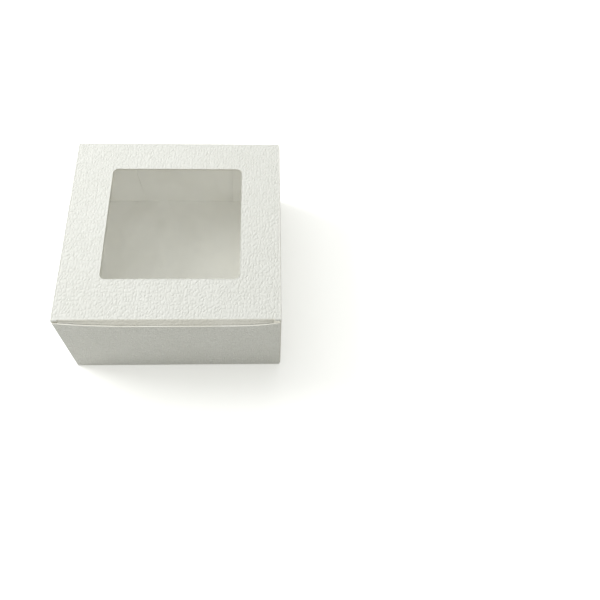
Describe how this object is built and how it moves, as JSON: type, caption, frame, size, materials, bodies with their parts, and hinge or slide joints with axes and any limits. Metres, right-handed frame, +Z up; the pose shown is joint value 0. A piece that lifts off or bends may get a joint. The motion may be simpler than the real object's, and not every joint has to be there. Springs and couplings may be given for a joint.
{
  "type": "window cake box",
  "caption": "Small square folding carton for a cake, in white embossed paperboard, with a clear film window in its hinged lid, a tuck-in front flap and side dust flaps.",
  "frame": {"origin": "middle of the underside of the floor panel, on the surface that the box stands on", "axes": "+X to the right as seen from the front, +Y from the front wall towards the back wall and the lid's hinge, +Z up"},
  "size_m": [0.15, 0.15, 0.072],
  "materials": {
    "board": "white coated paperboard, leather-grain emboss outside, smooth inside",
    "crease": "creased white paperboard",
    "film": "clear film",
    "glue": "dried clear glue"
  },
  "bodies": {
    "tray": {"floor_panel": "board", "front_wall": "board", "back_wall": "board", "left_wall": "board", "right_wall": "board", "front_left_tab": "board", "front_right_tab": "board", "back_left_tab": "board", "back_right_tab": "board", "corner_glue": "glue", "front_floor_crease": "crease", "back_floor_crease": "crease", "left_floor_crease": "crease", "right_floor_crease": "crease", "front_left_crease": "crease", "front_right_crease": "crease", "back_left_crease": "crease", "back_right_crease": "crease", "lid_crease": "crease", "left_dust_crease": "crease", "right_dust_crease": "crease"},
    "lid": {"lid_panel": "board", "window_film": "film", "window_glue": "glue", "tuck_crease": "crease"},
    "tuck": {"tuck_flap": "board"},
    "left_dust": {"left_dust_flap": "board"},
    "right_dust": {"right_dust_flap": "board"}
  },
  "joints": [
    {"name": "lid_hinge", "type": "hinge", "parent": "tray", "child": "lid", "pos_m": [0, 0.07457, 0.07157], "axis": [-1, 0, 0], "range_deg": [0, 180], "deforming": ["lid_crease"]},
    {"name": "tuck_hinge", "type": "hinge", "parent": "lid", "child": "tuck", "pos_m": [0, -0.07276, 0.07109], "axis": [-1, 0, 0], "range_deg": [0, 90], "deforming": ["tuck_crease"]},
    {"name": "left_dust_hinge", "type": "hinge", "parent": "tray", "child": "left_dust", "pos_m": [-0.07457, 0, 0.07037], "axis": [0, -1, 0], "range_deg": [0, 45], "deforming": ["left_dust_crease"]},
    {"name": "right_dust_hinge", "type": "hinge", "parent": "tray", "child": "right_dust", "pos_m": [0.07457, 0, 0.07037], "axis": [0, 1, 0], "range_deg": [0, 45], "deforming": ["right_dust_crease"]}
  ],
  "couplings": [
    {"joint": "tuck_hinge", "follows": "lid_hinge", "ratio": 0.5},
    {"joint": "left_dust_hinge", "follows": "lid_hinge", "ratio": 0.25},
    {"joint": "right_dust_hinge", "follows": "lid_hinge", "ratio": 0.25}
  ]
}
